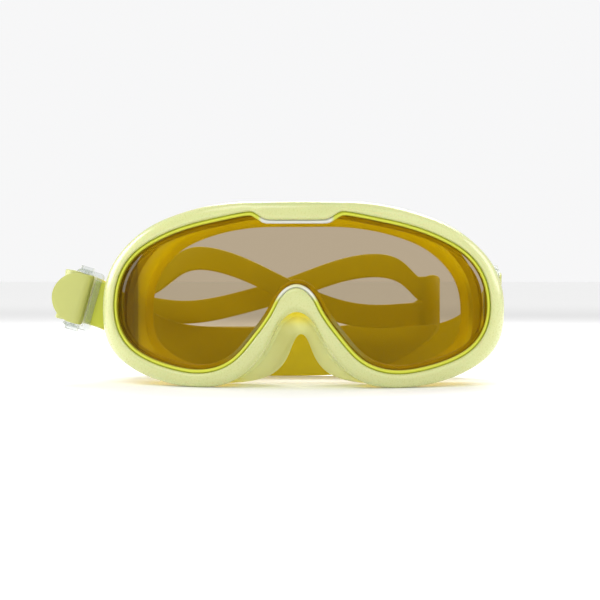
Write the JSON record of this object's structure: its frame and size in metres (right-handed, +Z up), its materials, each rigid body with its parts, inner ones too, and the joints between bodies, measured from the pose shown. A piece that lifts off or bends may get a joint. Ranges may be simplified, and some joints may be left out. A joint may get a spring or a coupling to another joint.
{
  "type": "diving mask",
  "caption": "Wide-view swim mask with a wrapped tinted lens in a rounded frame, an open-nose silicone skirt and a split strap on swinging roller buckles.",
  "frame": {"origin": "on the plane of symmetry, in the plane the mask stands on, under the frontmost point of the frame", "axes": "+Z up, lens faces -Y, +X to the viewer's right when looking at the lens"},
  "size_m": [0.1914, 0.0942, 0.0749],
  "materials": {
    "frame": "glossy moulded pale lime-yellow plastic",
    "lens": "smoke-bronze tinted polycarbonate",
    "gasket": "bright yellow translucent silicone",
    "ring": "yellow moulded plastic",
    "skirt": "translucent yellow silicone",
    "strap": "satin yellow silicone",
    "arm": "satin yellow-green silicone",
    "clear": "clear polycarbonate",
    "steel": "polished stainless steel"
  },
  "bodies": {
    "root": {"front_frame": "frame", "lens": "lens", "lens_gasket": "gasket", "retaining_ring": "ring", "skirt": "skirt", "strap": "strap", "left_hinge_pin": "steel", "right_hinge_pin": "steel"},
    "left_buckle": {"left_arm": "arm", "left_buckle_body": "clear", "left_strap_end": "strap", "left_release_spring": "steel"},
    "left_roller": {"left_strap_roller": "clear"},
    "left_upper_button": {"left_upper_release_button": "clear"},
    "left_lower_button": {"left_lower_release_button": "clear"},
    "right_buckle": {"right_arm": "arm", "right_buckle_body": "clear", "right_strap_end": "strap", "right_release_spring": "steel"},
    "right_roller": {"right_strap_roller": "clear"},
    "right_upper_button": {"right_upper_release_button": "clear"},
    "right_lower_button": {"right_lower_release_button": "clear"}
  },
  "joints": [
    {"name": "left_buckle_hinge", "type": "hinge", "parent": "root", "child": "left_buckle", "pos_m": [-0.0802, 0.046, 0.031], "axis": [0, 0, 1], "range_deg": [-90, 10], "deforming": ["strap"]},
    {"name": "left_roller_spin", "type": "hinge", "parent": "left_buckle", "child": "left_roller", "pos_m": [-0.09597, 0.046, 0.03549], "axis": [0.274, 0, 0.9617], "continuous": true},
    {"name": "left_upper_button_press", "type": "slide", "parent": "left_buckle", "child": "left_upper_button", "axis": [-0.274, 0, -0.9617], "range_m": [0, 0.001], "stiffness_N_per_m": 200, "springref_m": -0.001, "deforming": ["left_release_spring"]},
    {"name": "left_lower_button_press", "type": "slide", "parent": "left_buckle", "child": "left_lower_button", "axis": [0.274, 0, 0.9617], "range_m": [0, 0.001], "stiffness_N_per_m": 200, "springref_m": -0.001, "deforming": ["left_release_spring"]},
    {"name": "right_buckle_hinge", "type": "hinge", "parent": "root", "child": "right_buckle", "pos_m": [0.0802, 0.046, 0.031], "axis": [0, 0, 1], "range_deg": [-100, 0], "deforming": ["strap"]},
    {"name": "right_roller_spin", "type": "hinge", "parent": "right_buckle", "child": "right_roller", "pos_m": [0.0802, 0.06177, 0.03549], "axis": [0, -0.274, 0.9617], "continuous": true},
    {"name": "right_upper_button_press", "type": "slide", "parent": "right_buckle", "child": "right_upper_button", "axis": [0, 0.274, -0.9617], "range_m": [0, 0.001], "stiffness_N_per_m": 200, "springref_m": -0.001, "deforming": ["right_release_spring"]},
    {"name": "right_lower_button_press", "type": "slide", "parent": "right_buckle", "child": "right_lower_button", "axis": [0, -0.274, 0.9617], "range_m": [0, 0.001], "stiffness_N_per_m": 200, "springref_m": -0.001, "deforming": ["right_release_spring"]}
  ]
}
